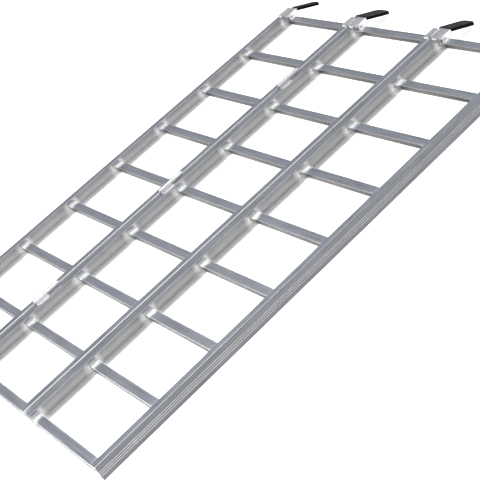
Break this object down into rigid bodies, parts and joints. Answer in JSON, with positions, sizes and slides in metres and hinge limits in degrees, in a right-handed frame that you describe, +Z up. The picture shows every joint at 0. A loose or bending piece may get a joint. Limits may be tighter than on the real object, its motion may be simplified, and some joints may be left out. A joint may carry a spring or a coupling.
{
  "type": "folding loading ramp",
  "caption": "Folding aluminium loading ramp: hinged side-by-side panels of channel rails and toothed rungs, with coated hooks that rest on a tailgate.",
  "frame": {"origin": "bottom centre of the whole object's box, unfolded", "axes": "X across the ramp, +Y from the ground end to the hook end, +Z up out of the running surface"},
  "size_m": [1.3716, 2.1122, 0.087],
  "materials": {
    "rail_metal": "extruded mill finish, fine lengthwise grain",
    "rung_metal": "mill finish, slightly scuffed teeth",
    "hook_metal": "bare bent plate, bright at the welds",
    "hinge_metal": "turned barrel, weld-on leaf",
    "pin_steel": "plated, satin",
    "black_dip": "dipped soft vinyl, satin"
  },
  "bodies": {
    "centre_panel": {"centre_rail_left": "rail_metal", "centre_rail_right": "rail_metal", "centre_rung_1": "rung_metal", "centre_rung_2": "rung_metal", "centre_rung_3": "rung_metal", "centre_rung_4": "rung_metal", "centre_rung_5": "rung_metal", "centre_rung_6": "rung_metal", "centre_rung_7": "rung_metal", "centre_rung_8": "rung_metal", "centre_rung_9": "rung_metal", "end_plate_centre": "hook_metal", "hook_centre": "hook_metal", "tip_centre": "black_dip", "top_knuckle_centre_a": "hinge_metal", "top_knuckle_centre_b": "hinge_metal", "top_knuckle_centre_c": "hinge_metal", "top_pins": "pin_steel", "under_knuckle_centre_a": "hinge_metal", "under_knuckle_centre_b": "hinge_metal", "under_knuckle_centre_c": "hinge_metal", "under_pins": "pin_steel"},
    "left_panel": {"end_plate_left": "hook_metal", "hook_left": "hook_metal", "left_rail_inner": "rail_metal", "left_rail_outer": "rail_metal", "left_rung_1": "rung_metal", "left_rung_2": "rung_metal", "left_rung_3": "rung_metal", "left_rung_4": "rung_metal", "left_rung_5": "rung_metal", "left_rung_6": "rung_metal", "left_rung_7": "rung_metal", "left_rung_8": "rung_metal", "left_rung_9": "rung_metal", "tip_left": "black_dip", "top_knuckle_left_a": "hinge_metal", "top_knuckle_left_b": "hinge_metal", "top_knuckle_left_c": "hinge_metal"},
    "right_panel": {"hook_outer": "hook_metal", "hook_right": "hook_metal", "right_rail_inner": "rail_metal", "right_rail_outer": "rail_metal", "right_rung_1": "rung_metal", "right_rung_2": "rung_metal", "right_rung_3": "rung_metal", "right_rung_4": "rung_metal", "right_rung_5": "rung_metal", "right_rung_6": "rung_metal", "right_rung_7": "rung_metal", "right_rung_8": "rung_metal", "right_rung_9": "rung_metal", "tip_outer": "black_dip", "tip_right": "black_dip", "under_knuckle_right_a": "hinge_metal", "under_knuckle_right_b": "hinge_metal", "under_knuckle_right_c": "hinge_metal"}
  },
  "joints": [
    {"name": "left_panel_fold", "type": "hinge", "parent": "centre_panel", "child": "left_panel", "pos_m": [-0.23095, 0, 0.079], "axis": [0, 1, 0], "range_deg": [0, 180]},
    {"name": "right_panel_fold", "type": "hinge", "parent": "centre_panel", "child": "right_panel", "pos_m": [0.23095, 0, 0.008], "axis": [0, 1, 0], "range_deg": [0, 180]}
  ]
}
